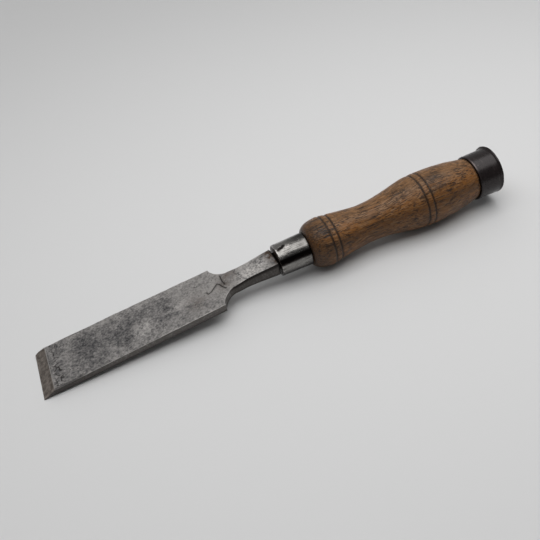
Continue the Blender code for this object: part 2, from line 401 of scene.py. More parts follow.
class Finish:
    """A material's node tree, with short calls that each add a node and return its output as a layer."""

    def __init__(self, name):
        self.material = bpy.data.materials.new(name)
        self.material.use_nodes = True
        self.tree = self.material.node_tree
        self.shader = self.tree.nodes["Principled BSDF"]

    def node(self, kind, inputs, output, **settings):
        """Adds a node. Inputs are named by identifier, and each is a value or a layer."""
        node = self.tree.nodes.new(kind)
        for key, value in settings.items():
            setattr(node, key, value)
        sockets = {socket.identifier: socket for socket in node.inputs}
        for key, value in inputs.items():
            self.feed(sockets[key], value)
        return Layer(self, {socket.identifier: socket for socket in node.outputs}[output])

    def feed(self, socket, value):
        if isinstance(value, Layer):
            self.tree.links.new(value.socket, socket)
        elif socket.type == "RGBA":
            socket.default_value = (*value, 1.0)
        else:
            socket.default_value = value

    def mark(self, name):
        return self.node("ShaderNodeAttribute", {}, "Fac", attribute_name=name)

    def place(self, stretch=(1.0, 1.0, 1.0), shift=(0.0, 0.0, 0.0)):
        """Object coordinates in the tool's own axes, then stretched. A long grain has a stretch above 1."""
        back = TOOL.inverted()
        raw = self.node("ShaderNodeTexCoord", {}, "Object")
        turn = {"Vector": raw, "Location": back.translation, "Rotation": back.to_euler()}
        own = self.node("ShaderNodeMapping", turn, "Vector")
        scale = {"Vector": own, "Location": shift, "Scale": [1.0 / part for part in stretch]}
        return self.node("ShaderNodeMapping", scale, "Vector")

    def noise(self, where, size, detail=2.0, roughness=0.5, warp=0.0):
        """Cloudy noise from 0 to 1 whose lumps are about this size."""
        inputs = {"Vector": where, "Scale": 1.0 / size, "Detail": detail}
        inputs.update({"Roughness": roughness, "Distortion": warp})
        return self.node("ShaderNodeTexNoise", inputs, "Fac")

    def cells(self, where, size):
        """Distance to the nearest of scattered points, in cells of this size."""
        inputs = {"Vector": where, "Scale": 1.0 / size}
        return self.node("ShaderNodeTexVoronoi", inputs, "Distance", feature="F1")

    def mix(self, part, first, last):
        inputs = {"Factor_Float": part, "A_Color": first, "B_Color": last}
        return self.node("ShaderNodeMix", inputs, "Result_Color", data_type="RGBA")

    def paint(self, base, *coats):
        """The base colour under coats laid one on another, each a colour and the part of it that shows."""
        for colour, part in coats:
            base = self.mix(part, base, colour)
        return base

    def bump(self, height, depth):
        return self.node("ShaderNodeBump", {"Height": height, "Distance": depth, "Strength": 1.0}, "Normal")

    def set(self, **inputs):
        """Feeds the shader's sockets, with _ for a space in a name."""
        for key, value in inputs.items():
            self.feed(self.shader.inputs[key.replace("_", " ")], value)
        return self.material


def forged_steel(colours):
    """Worn blade steel: bare metal under blue-grey oxide clouds and fine specks, a brown ground bevel, dark
    pits, seams and flanks, and painted shade on the low and front parts of the sides and on the neck's
    sides.
    """
    finish = Finish("forged_steel")
    place = finish.place()
    cloud = finish.noise(place, size=0.010, detail=3.0, roughness=0.6)
    mottle = finish.noise(place, size=0.0025, detail=4.0, roughness=0.65)
    grain = finish.noise(place, size=0.0011, detail=3.0, roughness=0.6)
    streak = finish.noise(finish.place(stretch=(3.0, 1.0, 3.0)), size=0.0009, detail=3.0, roughness=0.6)
    spots = finish.mark("tone")
    tone = cloud * 0.25 + mottle * 0.62 + grain * 0.72 + spots * 0.17
    gleam = finish.mark("gleam") * (mottle + grain).step(low=0.82, high=1.22)
    speck = finish.cells(place, size=0.0022).step(low=0.24, high=0.14)
    speck = speck * (mottle + cloud * -0.3).step(low=0.34, high=0.44)
    brown = (streak * 0.4 + mottle + spots).step(low=0.40, high=1.00)
    base = finish.paint(
        finish.mix(tone.step(low=0.42, high=1.16), colours.steel_dark, colours.steel_light),
        (colours.steel_bright, gleam),
        (colours.steel_dark, speck * 0.70),
        (colours.steel_stain, finish.mark("stain") * mottle.step(low=0.30, high=0.62)),
        (finish.mix(brown, colours.bevel_dark, colours.bevel_steel), finish.mark("ground")),
        (colours.steel_flank, finish.mark("flank") * grain.step(low=0.20, high=0.55)),
        (colours.steel_light, finish.mark("arris") * 0.75),
        # Pits, seams and grime, with painted shade on the low and front parts of the sides and on the neck's
        # sides.
        (colours.steel_pit_and_shade, finish.mark("dirt_and_painted_shade")),
    )
    relief = finish.bump(mottle * 0.35 + grain * 0.30, depth=0.00007)
    return finish.set(Base_Color=base, Roughness=mottle * 0.20 + 0.32, Metallic=0.85, Normal=relief)


def ferrule_steel(colours):
    """Bright rubbed tube: streaks of wear along it, dull spots, ragged grime, a painted dark reflection band
    on the near side, and painted shade on the underside and towards the rear.
    """
    finish = Finish("ferrule_steel")
    place = finish.place()
    mottle = finish.noise(place, size=0.0022, detail=5.0, roughness=0.7)
    cloud = finish.noise(place, size=0.007, detail=3.0)
    scratch = finish.noise(finish.place(stretch=(14.0, 1.0, 1.0)), size=0.0006, detail=2.0)
    tone = (mottle * 0.5 + cloud * 0.4 + scratch * 0.4).step(low=0.46, high=0.72)
    speck = finish.cells(place, size=0.0019).step(low=0.30, high=0.12) * mottle.step(low=0.42, high=0.54)
    # Dents, scar, grime and tarnish, with the painted dark reflection band and painted shade on the
    # underside and towards the rear.
    dirt_and_shade = finish.mark("dirt_and_painted_shade")
    ragged = (mottle + dirt_and_shade * 0.5).step(low=0.50, high=0.72)
    base = finish.paint(
        finish.mix(tone, colours.ferrule_dull, colours.ferrule_steel),
        (colours.steel_light, finish.mark("polish") * mottle.step(low=0.35, high=0.55)),
        (colours.steel_pit_and_shade, (dirt_and_shade * 1.4 * ragged).most(speck * 0.55)),
    )
    roughness = tone.step(low=0.0, high=1.0, to_low=0.34, to_high=0.24)
    relief = finish.bump(mottle, depth=0.00006)
    return finish.set(Base_Color=base, Roughness=roughness, Metallic=1.0, Normal=relief)


def turned_wood(colours):
    """Open-grained hardwood: warm and dark streaks along the grain, pores as dark dashes, a rubbed and dusty
    top with a painted sheen, painted shade on the front shoulder and low on the near side, stains, and grime
    in the cut lines and dents, with painted shadow at the joints.
    """
    finish = Finish("turned_wood")
    place = finish.place()
    along = finish.place(stretch=(14.0, 1.0, 1.0))
    streak = finish.noise(along, size=0.0034, detail=4.0, roughness=0.65, warp=0.4)
    fine = finish.noise(finish.place(stretch=(18.0, 1.0, 1.0)), size=0.0008, detail=3.0, roughness=0.70)
    aside = finish.place(stretch=(11.0, 1.0, 1.0), shift=(3.0, 7.0, 5.0))
    fibre = finish.noise(aside, size=0.0008, detail=3.0, roughness=0.7)
    pores = finish.noise(finish.place(stretch=(11.0, 1.0, 1.0)), size=0.00048, detail=1.0)
    blotch = finish.noise(place, size=0.011, detail=4.0, roughness=0.65)
    mottle = finish.noise(place, size=0.0026, detail=4.0, roughness=0.7)
    dusty_sheen = finish.mark("dust_and_sheen")
    warm = finish.mark("warm") * 0.22 + dusty_sheen * -0.16
    dash = (pores + blotch * -0.34).step(low=0.385, high=0.465)
    base = finish.paint(
        finish.mix((streak + warm).step(low=0.42, high=0.72), colours.wood_mid, colours.wood_warm),
        (colours.wood_worn_and_sheen, fibre.step(low=0.49, high=0.61) * 0.88),
        # Dust and a painted sheen on the top of the handle.
        (colours.wood_worn_and_sheen, dusty_sheen * blotch.step(low=0.25, high=0.62) * 0.50),
        (colours.wood_dark_and_shade, fine.step(low=0.52, high=0.66) * 0.90),
        # Painted shade on the front shoulder and low on the near side.
        (colours.wood_dark_and_shade, finish.mark("shade") * 0.72),
        (colours.wood_grime_and_shade, dash * 0.74),
        (colours.wood_grime_and_shade, finish.mark("smudge") * (mottle + fine * 0.5).step(low=0.55, high=0.90)),
        # Grime in the lines, dents and pores, and painted shadow at the joints with the ferrule and the
        # hoop.
        (colours.wood_grime_and_shade, finish.mark("grime_and_shade")),
    )
    roughness = blotch.step(low=0.3, high=0.7, to_low=0.34, to_high=0.46)
    relief = finish.bump(dash * -0.8 + fine * -0.6, depth=0.00022)
    return finish.set(Base_Color=base, Roughness=roughness, Specular_IOR_Level=0.30, Normal=relief)


def hoop_steel(colours):
    """Blackened ring: satin black with brush streaks round it, and worn grey with a painted highlight on the
    lit side of its front rim and in specks there.
    """
    finish = Finish("hoop_steel")
    place = finish.place()
    mottle = finish.noise(place, size=0.0024, detail=5.0, roughness=0.7)
    brush = finish.noise(finish.place(stretch=(1.0, 9.0, 9.0)), size=0.0007, detail=2.0)
    speck = finish.cells(place, size=0.0014).step(low=0.22, high=0.08) * finish.mark("scuffs_and_highlight")
    # Painted highlight: the front rim and the specks near it turn grey only on the lit side.
    worn = finish.mark("rim").most(speck).most(brush.step(low=0.52, high=0.80) * 0.12)
    base = finish.mix(worn, colours.hoop_black, colours.hoop_worn_and_highlit)
    return finish.set(Base_Color=base, Roughness=mottle * 0.10 + 0.23, Metallic=0.35, Specular_IOR_Level=0.4)


def pale_floor(colours):
    finish = Finish("pale_floor")
    return finish.set(Base_Color=colours.floor, Roughness=0.9, Specular_IOR_Level=0.1)


# Blade

TOP_COLUMNS = 138
BACK_COLUMNS = 40
SIDE_COLUMNS = 9
CORNER_COLUMNS = 5
BLADE_ROWS = (20, 14, 50, 196, 44, 60, 8)
TANG_ROWS = 16
# Rows lie closer this far either side of the bevel's heel, and from there to the end of the pits.
HEEL_REACH = 0.0007
PITTED_END = 0.018
HEEL_ROUND = 0.00006
HEEL_LINE = 0.00022
GROUND_EDGE = 0.0002
ARRIS_SHARE = 0.45
CHAMFER_SIDE = 0.7
CHAMFER_TOP = 0.5
SIDE_BULGE = 0.0002
BULGE_START = (0.006, 0.02)
BULGE_END = (0.002, 0.006)
FAR_ROUNDING = 0.50
FAR_CORNER = (0.0105, 0.0055)
FAR_BOW = 0.0002
NECK_LEAN = 0.0005
NECK_START = (0.003, 0.006)
# The neck darkens over its last part before the ferrule: from this far before its end, coming in over this
# length.
NECK_END_DARKENING = (0.0007, 0.0005)
FAR_BAND = (0.0085, 0.0055)
FAR_BAND_START = (0.010, 0.012)
FAR_BAND_TONE = 0.55
# Slow waves and fine waves on the worn faces, each a height and a wavelength.
SLOW_WAVES = (0.00005, 0.014)
FINE_WAVES = (0.00002, 0.0035)
WAVES_END = 0.002
FACING_UP = -0.5
FORGE_SEAMS = (
    ((0.1071, 0.0063), (0.1069, 0.0040), (0.1069, 0.0017), (0.1074, -0.0012)),
    ((0.1070, -0.0042), (0.1058, -0.0020), (0.1046, 0.0010), (0.1035, 0.0019)),
    ((0.1035, 0.0019), (0.1011, -0.0001), (0.0990, -0.0018), (0.0972, -0.0024), (0.0967, -0.0008)),
)
SEAM_WIDTH = 0.0009
SEAM_HALO = 0.0026
SEAM_DEPTH = 0.00012
PIT_START = (0.0006, 0.0012)
PIT_REACH = 0.0078
PIT_FADE = 0.0030
PIT_DEPTH = 0.00016
PIT_TRACK = 0.55
PIT_BREAK = 0.40
# What a pit has to pass to show, outside the band behind the bevel and in it.
PIT_BARS = (2.2, 0.25)
WORN_CORNER = ((0.0080, -0.0164), (0.0130, -0.0162), (0.0215, -0.0162))
WORN_WIDTH = 0.0042
TONE_DRIFT = 0.0011
DRIFT_WAVE = 0.006
# Each spot's place along and across the blade, its radius and its strength.
TONE_SPOTS = (
    (0.0713, 0.0093, 0.0045, -0.7),
    (0.0734, 0.0012, 0.0040, -0.6),
    (0.0694, -0.0062, 0.0038, -0.5),
    (0.0601, 0.0060, 0.0050, -0.6),
    (0.0736, -0.0041, 0.0030, -0.5),
    (0.0509, 0.0016, 0.0055, -0.7),
    (0.0471, -0.0045, 0.0045, -0.6),
    (0.0266, 0.0110, 0.0045, -0.6),
    (0.0253, 0.0063, 0.0045, -0.6),
    (0.0297, 0.0005, 0.0050, -0.6),
    (0.0260, -0.0094, 0.0045, -0.5),
    (0.0856, -0.0055, 0.0040, -0.5),
    (0.0950, 0.0119, 0.0040, -0.3),
    (0.1154, 0.0026, 0.0018, -1.6),
    (0.1278, 0.0009, 0.0020, -1.6),
    (0.1235, 0.0018, 0.0012, -1.2),
    (0.1320, 0.0043, 0.0014, -1.4),
    (0.1208, -0.0012, 0.0020, 0.5),
    (0.1307, 0.0012, 0.0014, 0.5),
    (0.0605, -0.0037, 0.0050, 0.9),
    (0.0695, 0.0139, 0.0040, 0.5),
    (0.0714, -0.0113, 0.0045, 0.5),
    (0.0810, -0.0016, 0.0050, 0.6),
    (0.0950, 0.0000, 0.0120, 0.9),
    (0.0400, 0.0000, 0.0200, -0.35),
    (0.1070, 0.0010, 0.0060, 0.7),
    (0.1220, 0.0010, 0.0090, 0.9),
    (0.1330, 0.0000, 0.0060, 0.6),
)
GLEAM_SPOTS = (
    (0.1180, -0.0010, 0.0050, 0.5),
    (0.1208, -0.0012, 0.0040, 0.5),
    (0.1270, -0.0025, 0.0040, 0.6),
    (0.1310, 0.0010, 0.0030, 0.6),
    (0.1250, 0.0040, 0.0030, 0.4),
    (0.0605, -0.0037, 0.0040, 0.30),
    (0.0560, -0.0075, 0.0030, 0.30),
)
STAIN_SPOTS = (
    (0.1362, 0.0050, 0.0036, 1.2),
    (0.1370, 0.0005, 0.0030, 1.1),
    (0.1372, -0.0040, 0.0026, 1.0),
    (0.1110, 0.0040, 0.0050, 0.6),
    (0.1065, -0.0010, 0.0040, 0.6),
    (0.0900, -0.0040, 0.0060, 0.5),
)


def section_columns():
    """Round a section from the far end of its back: where each column lies between the corner centres, from
    -1 to 1, and the way out from there. Corners are quarter circles, and the sides between are straight.
    """
    quarter = np.linspace(0.0, np.pi / 2.0, CORNER_COLUMNS)
    centre, out = [], []
    corners = ((1, -1), (1, 1), (-1, 1), (-1, -1))
    counts = (SIDE_COLUMNS, TOP_COLUMNS, SIDE_COLUMNS, BACK_COLUMNS)
    for number, (corner, count) in enumerate(zip(corners, counts)):
        turn = quarter + np.pi / 2.0 * (number - 1)
        centre.append(np.tile(corner, (CORNER_COLUMNS, 1)))
        out.append(np.stack((np.cos(turn), np.sin(turn)), axis=-1))
        part = np.linspace(0.0, 1.0, count + 2)[1:-1, None]
        centre.append(between(np.array(corner), np.array(corners[(number + 1) % 4]), part))
        out.append(np.tile(out[-1][-1], (count, 1)))
    return np.concatenate(centre), np.concatenate(out)


def neck_end_of(blade):
    return blade.blade_length + blade.shoulder_length + blade.neck_length


def blade_outline(sizes):
    """Rows along the forging: place, half width, underside and top. The shoulder is a quarter of a hollow
    superellipse, and the neck's width eases to its waist and out again.
    """
    shoulder_end = sizes.blade_length + sizes.shoulder_length
    neck_end = neck_end_of(sizes)
    chamfer_start = neck_end - sizes.neck_chamfer
    heel = (sizes.bevel_length - HEEL_REACH, sizes.bevel_length + HEEL_REACH)
    stops = (0.0, *heel, PITTED_END, sizes.blade_length, shoulder_end, chamfer_start, neck_end)
    u = places(*zip(stops, stops[1:], BLADE_ROWS))
    along = limit(u / sizes.blade_length)
    half = between(sizes.edge_width, sizes.shoulder_width, along) / 2.0
    turn = limit((u - sizes.blade_length) / sizes.shoulder_length)
    power = sizes.shoulder_hollow
    hollow = (1.0 - (1.0 - turn) ** power) ** (1.0 / power)
    half = between(half, sizes.neck_root_width / 2.0, hollow)
    behind = np.clip(u - shoulder_end, 0.0, None)
    waist = ease(behind / sizes.neck_waist_at)
    spread = rise(behind, sizes.neck_waist_at, sizes.neck_length - sizes.neck_waist_at)
    neck = between(sizes.neck_root_width, sizes.neck_waist_width, waist) / 2.0
    neck = between(neck, sizes.neck_end_width / 2.0, spread)
    half = np.where(u > shoulder_end, neck, half)
    bottom = between(-sizes.edge_drop, -sizes.heel_drop, along)
    bottom = between(bottom, -sizes.neck_end_drop, ease(turn))
    heel_bottom = between(-sizes.edge_drop, -sizes.heel_drop, sizes.bevel_length / sizes.blade_length)
    shoulder_top = sizes.shoulder_thickness - sizes.heel_drop
    face_part = (u - sizes.bevel_length) / (sizes.blade_length - sizes.bevel_length)
    blade_top = between(heel_bottom + sizes.bevel_thickness, shoulder_top, face_part)
    neck_part = limit((u - sizes.blade_length) / (neck_end - sizes.blade_length))
    neck_top = between(shoulder_top, sizes.neck_end_rise, neck_part)
    top = np.where(u < sizes.blade_length, blade_top, neck_top)
    worn = sizes.neck_chamfer * rise(u, chamfer_start, sizes.neck_chamfer)
    return u, half - CHAMFER_SIDE * worn, bottom, top - CHAMFER_TOP * worn


def tang_outline(sizes, neck_end):
    """Rows along the tang, as the forging's: a straight taper to a square tip."""
    part = np.linspace(0.0, 1.0, TANG_ROWS)
    u = neck_end + sizes.tang_length * part
    half = between(sizes.tang_width, sizes.tang_tip, part) / 2.0
    tall = between(sizes.tang_height, sizes.tang_tip, part) / 2.0
    return u, half, -tall, tall


def heel_place(sizes, v):
    """Where the bevel ends, a little further back on the near side."""
    return sizes.bevel_length - sizes.bevel_skew * v / (sizes.edge_width / 2.0)


def bevel_share(sizes, u, v):
    """How much of the full thickness is left under the bevel: a soft minimum of 1 and a ramp from the edge
    land, which bends to a rounded power curve at the far corner.
    """
    worn = 1.0 - FAR_ROUNDING * rise(v, *FAR_CORNER)
    ramp = between(sizes.edge_land / sizes.bevel_thickness, 1.0, (u / heel_place(sizes, v)) ** worn)
    soft = HEEL_ROUND / sizes.bevel_thickness
    return -soft * np.logaddexp(-ramp / soft, -1.0 / soft)


def side_shift(sizes, u, centre, out):
    """How far a section's columns move across: the far side bows by a squared sine, the near top of the neck
    leans in, and both sides bulge by a parabola.
    """
    side, level = centre[:, 0], centre[:, 1]
    bow = FAR_BOW * np.sin(np.pi * limit(u / sizes.blade_length)) ** 2 * limit(side)
    lean = NECK_LEAN * rise(u, sizes.blade_length, sizes.shoulder_length) * (u < neck_end_of(sizes))
    lean = lean * limit(-side) * (level + 1.0) / 2.0
    bulge_stop = sizes.blade_length + BULGE_END[0]
    bulge = SIDE_BULGE * rise(u, *BULGE_START) * fall(u, bulge_stop, BULGE_END[1])
    return bow + lean + out[:, 0] * bulge * (1.0 - level**2)


def pit_field(sizes, grid):
    """Rust pits from 0 to 1: winding tracks along the zero lines of one layer of ripples, broken up by two
    others, in a band behind the bevel.
    """
    behind = grid[..., 0] - heel_place(sizes, grid[..., 1])
    band = rise(behind, *PIT_START) * fall(behind, PIT_REACH, PIT_FADE)
    track = 1.0 - np.abs(ripples(grid, wavelength=0.0040, seed=13)) / PIT_TRACK
    wide = ripples(grid, wavelength=0.0075, seed=12)
    fine = ripples(grid, wavelength=0.0013, seed=14)
    return limit(track + PIT_BREAK * wide + PIT_BREAK * fine - between(*PIT_BARS, band))


def blade_surface(sizes):
    """The forging as one closed surface: rounded rectangles along the axis, thinned by the bevel, and then
    pushed in along each point's way out by pits, seams and wear.
    """
    u, half, bottom, top = blade_outline(sizes)
    visible = len(u)
    tang = tang_outline(sizes, u[-1])
    u, half, bottom, top = (np.concatenate(pair)[:, None] for pair in zip((u, half, bottom, top), tang))
    centre, out = section_columns()
    corner = np.minimum(sizes.arris, ARRIS_SHARE * (top - bottom))
    v = centre[:, 0] * (half - corner) + corner * out[:, 0]
    w = (top + bottom) / 2.0 + centre[:, 1] * ((top - bottom) / 2.0 - corner) + corner * out[:, 1]
    w = bottom + (w - bottom) * bevel_share(sizes, u, v)
    v = v + side_shift(sizes, u, centre, out)
    u = np.broadcast_to(u, v.shape)
    grid = np.stack((u, v, w), axis=-1)
    shown = (np.arange(len(grid)) < visible)[:, None]
    upper = limit(out[:, 1])
    pits = pit_field(sizes, grid) * upper * shown
    seam, halo = (
        strongest(*(near_line(grid[..., :2], line, width) for line in FORGE_SEAMS)) * upper
        for width in (SEAM_WIDTH, SEAM_HALO)
    )
    to_neck_end = u[visible - 1] - u
    swing = SLOW_WAVES[0] * ripples(grid, SLOW_WAVES[1], seed=3)
    swing = swing + FINE_WAVES[0] * ripples(grid, FINE_WAVES[1], seed=4)
    swing *= limit(u / sizes.bevel_length) * limit(to_neck_end / WAVES_END)
    push = (swing * (out[:, 1] > FACING_UP) - PIT_DEPTH * pits - SEAM_DEPTH * seam) * shown
    grid[..., 1] += push * out[:, 0]
    grid[..., 2] += push * out[:, 1]
    wear = 0.80 * np.sqrt(pits), seam**0.4, 0.35 * halo
    return grid, blade_marks(sizes, grid, u, v, (centre, out), to_neck_end, wear)


def blade_marks(sizes, grid, u, v, section, to_neck_end, wear):
    """What the finish reads at each point of the forging. Dirt and painted shade is the strongest of the
    wear, the worn corner, darkening at the neck's end and along the far top edge, and painted shade on the
    low and front parts of the sides and on the neck's sides.
    """
    centre, out = section
    upper, flank = limit(out[:, 1]), np.abs(out[:, 0])
    height = (centre[:, 1] + 1.0) / 2.0
    heel = u - heel_place(sizes, v)
    on_neck = rise(u, sizes.blade_length + NECK_START[0], NECK_START[1])
    dirt_and_shade = strongest(
        *wear,
        0.75 * near_line(np.stack((u, v), axis=-1), WORN_CORNER, WORN_WIDTH) * upper,
        0.9 * limit((NECK_END_DARKENING[0] - to_neck_end) / NECK_END_DARKENING[1]),
        # Painted shade on the low part of the sides.
        0.85 * flank**3 * ease(1.9 * (0.45 - height)),
        # Painted shade on the front part of the sides, near the cutting edge.
        0.45 * flank**3 * (1.0 - rise(u, 0.010, 0.040)),
        # Painted shade on the neck's sides, darkest near their top.
        flank**3 * on_neck * between(0.45, 0.95, rise(height, 0.62, 0.2)),
        1.2 * flank * upper * (v > 0.0) * between(0.35, 0.7, on_neck),
    )
    near_arris = 2.0 * flank * upper * (heel > 0.0) * (v < 0.0) * (1.0 - on_neck)
    far_band = FAR_BAND_TONE * rise(v, *FAR_BAND) * rise(u, *FAR_BAND_START)
    drift_u = TONE_DRIFT * ripples(grid, DRIFT_WAVE, seed=15)
    drift_v = TONE_DRIFT * ripples(grid, DRIFT_WAVE, seed=16)
    return {
        "ground": limit(-heel / GROUND_EDGE) * upper,
        "dirt_and_painted_shade": limit(dirt_and_shade),
        "flank": np.broadcast_to(flank**3, u.shape),
        "arris": np.maximum(near_arris, bell(heel / HEEL_LINE) * upper),
        "tone": (soft_spots(u + drift_u, v + drift_v, TONE_SPOTS) + far_band) * upper,
        "stain": soft_spots(u, v, STAIN_SPOTS),
        "gleam": soft_spots(u, v, GLEAM_SPOTS) * upper,
    }


class CHISEL_OT_forge_blade(bpy.types.Operator):
    """Makes the blade, its shoulders, neck and tang as one forging"""

    bl_idname = "chisel.forge_blade"
    bl_label = "Forge blade"

    def execute(self, context):
        scene = context.scene
        grid, marks = blade_surface(scene.chisel_blade)
        piece = closed_surface("blade_forging", grid, marks=marks)
        dress(piece, forged_steel(scene.chisel_colours), "blade")
        return {"FINISHED"}


# Ferrule

RING_COLUMNS = 220
BORE_ROWS = 10
# Painted dark reflection: a dark band round the near side of the tube, between these angles round the axis,
# with soft edges of this angle.
REFLECTION_BAND_FROM, REFLECTION_BAND_TO, REFLECTION_BAND_EDGE = np.radians((131.0, 173.0, 15.0))
# How dark the painted reflection band is.
REFLECTION_BAND_DARKNESS = 0.76
TARNISH_LEAST = 0.22
# Painted shade on the underside of the tube: the angle round the axis where it is darkest, and its width.
SHADED_UNDERSIDE = math.radians(225.0)
SHADED_UNDERSIDE_WIDTH = 0.55
# Painted shade towards the rear of the tube, next to the bead: strongest at this angle on the top, over this
# width, coming in from and over these lengths.
REAR_SHADE_TOP = math.radians(62.0)
REAR_SHADE_WIDTH = 0.6
REAR_SHADE_START = (0.002, 0.015)
JOINT_START = (0.0013, 0.0010)
FRONT_RIM = 0.0006
# Each dent's distance behind the front, distance round from the top, and radius.
FERRULE_DENTS = ((0.0035, 0.001, 0.0016), (0.001, -0.004, 0.0013), (0.014, -0.009, 0.0020))
DENT_DEPTH = 0.00018
# The scar's ends and the rubbed patch, each a distance behind the front and a turn in degrees.
SCAR_ENDS = ((0.0016, 104.0), (0.0052, 94.0))
SCAR_WIDTH = 0.0038
SCAR_DEPTH = 0.00006
RUBBED_PATCH = (0.0070, 99.0)
RUBBED_RADIUS = 0.0019
TUBE_SLOW_WAVES = (0.00004, 0.007)
TUBE_FINE_WAVES = (0.000010, 0.0022)
# A ring's points count as outside past the first share of its wall, fully so after the second.
TUBE_OUTSIDE = (0.5, 0.3)
HOOP_OUTSIDE = (0.5, 0.4)


def ferrule_ends(scene):
    front = neck_end_of(scene.chisel_blade) + scene.chisel_ferrule.mouth
    return front, front + scene.chisel_ferrule.tube_length


def outside_share(radius, bore, wall, limits):
    return limit((radius - bore - limits[0] * wall) / (limits[1] * wall))


def ring_profile(front_edge, rear_edge, bore, rim, outside, face):
    """A ring's profile: from its front round the outside, and back along the bore, with arcs on its rims."""
    (front, slim), (rear, wide) = front_edge, rear_edge
    level = np.pi / 2.0
    return np.concatenate((
        round_rim(front + rim, slim - rim, rim, np.pi, level),
        outside,
        round_rim(rear - rim, wide - rim, rim, level, 0.0),
        face,
        round_rim(rear - rim, bore + rim, rim, 0.0, -level, 3),
        straight((rear - rim, bore), (front + rim, bore), BORE_ROWS),
        round_rim(front + rim, bore + rim, rim, -level, -np.pi, 4),
    ))


def ferrule_surface(scene):
    """A ring: the outside cone with a quarter circle on each rim, then the bore, dented and scarred."""
    sizes = scene.chisel_ferrule
    front, rear = ferrule_ends(scene)
    wide, slim = sizes.rear_diameter / 2.0, sizes.front_diameter / 2.0
    bore, rim = slim - sizes.wall, sizes.rim
    outside = straight((front + rim, slim), (rear - rim, wide), 44)
    face = straight((rear, wide - rim), (rear, bore), 2)
    profile = ring_profile((front, slim), (rear, wide), bore, rim, outside, face)
    along = profile[:, :1] - front
    grid, angle = turned(profile[:, 0], profile[:, 1:], RING_COLUMNS)
    outer = outside_share(profile[:, 1:], bore, sizes.wall, TUBE_OUTSIDE)
    where = np.stack(np.broadcast_arrays(along, angle * slim), axis=-1)
    top = np.pi / 2.0 * slim
    behind, aside, radii = np.transpose(FERRULE_DENTS)
    dents = hollows(where, np.stack((behind, top + aside), axis=-1), radii)
    scar = near_line(where, [(place, math.radians(turn) * slim) for place, turn in SCAR_ENDS], SCAR_WIDTH)
    patch = (RUBBED_PATCH[0], math.radians(RUBBED_PATCH[1]) * slim)
    rubbed = hollows(where, [patch], [RUBBED_RADIUS])
    push = TUBE_SLOW_WAVES[0] * ripples(grid, TUBE_SLOW_WAVES[1], seed=21)
    push = push + TUBE_FINE_WAVES[0] * ripples(grid, TUBE_FINE_WAVES[1], seed=22)
    push_out(grid, angle, (push - DENT_DEPTH * dents - SCAR_DEPTH * scar) * outer)
    # Painted dark reflection on the near side and painted shade on the underside, over a least tarnish all
    # round.
    band = rise(angle, REFLECTION_BAND_FROM, REFLECTION_BAND_EDGE) * fall(angle, REFLECTION_BAND_TO, REFLECTION_BAND_EDGE)
    tarnish_and_shade = strongest(REFLECTION_BAND_DARKNESS * band, TARNISH_LEAST, round_bell(angle, SHADED_UNDERSIDE, SHADED_UNDERSIDE_WIDTH))
    # Painted shade growing towards the rear, next to the bead.
    rear_shade = rise(along, *REAR_SHADE_START) * (0.32 + 0.38 * round_bell(angle, REAR_SHADE_TOP, REAR_SHADE_WIDTH))
    joint = rise(along, sizes.tube_length - JOINT_START[0], JOINT_START[1])
    dark = strongest(0.75 * dents, 0.9 * scar, tarnish_and_shade, rear_shade, 0.7 * joint) * outer
    dark = limit(np.maximum(dark, 1.0 - outer))
    front_rim = bell(along / FRONT_RIM) * (1.0 - tarnish_and_shade) * outer
    return grid, {"dirt_and_painted_shade": dark * (1.0 - 0.8 * rubbed), "polish": limit(np.maximum(front_rim, rubbed))}


class CHISEL_OT_turn_ferrule(bpy.types.Operator):
    """Makes the steel tube on the front of the handle"""

    bl_idname = "chisel.turn_ferrule"
    bl_label = "Turn ferrule"

    def execute(self, context):
        scene = context.scene
        grid, marks = ferrule_surface(scene)
        piece = closed_surface("ferrule_tube", grid, ring=True, marks=marks)
        dress(piece, ferrule_steel(scene.chisel_colours), "ferrule")
        return {"FINISHED"}


# Handle

Stations = namedtuple("Stations", "front shoulder bead waist swell barrel_end hoop_rear butt")
HANDLE_COLUMNS = 236
FACE_INNER = 0.55
BUTT_MIDDLE = 0.0005
BUTT_HOLLOW = 0.00045
BUTT_WAVES = (0.0001, 0.0035)
LEAST_COSINE = 1e-6
DENT_COUNT = 46
DENT_SEED = 31
DENT_RADII = (0.0005, 0.0014)
DENT_MARGINS = (0.004, 0.002)
WOOD_DENT_DEPTH = 0.00025
WORN_WAVES = (0.00010, 0.020)
RUBBED_WAVES = (0.00004, 0.005)
WORN_FADE = 0.004
BAR_WIDTH = 0.0012
BAR_DEPTH = 0.0001
# Painted shadow on the wood at its joints with the ferrule and the hoop: how far each reaches.
FRONT_JOINT_SHADE = 0.0007
REAR_JOINT_SHADE = 0.0008
MEAN_RADIUS = 0.013
# Dust and a painted sheen on the top of the handle: the angle where it is strongest, and its width.
DUSTY_SHEEN_SIDE = math.radians(88.0)
DUSTY_SHEEN_WIDTH = 0.55
WARM_SIDE = math.radians(140.0)
WARM_WIDTH = 0.45
WARM_START = (0.010, 0.012)
# Painted shade low on the near side: the angle where it is darkest and its width; then the length of painted
# shade on the front shoulder.
DARK_SIDE = math.radians(159.0)
DARK_WIDTH = 0.24
DARK_FRONT = 0.0165
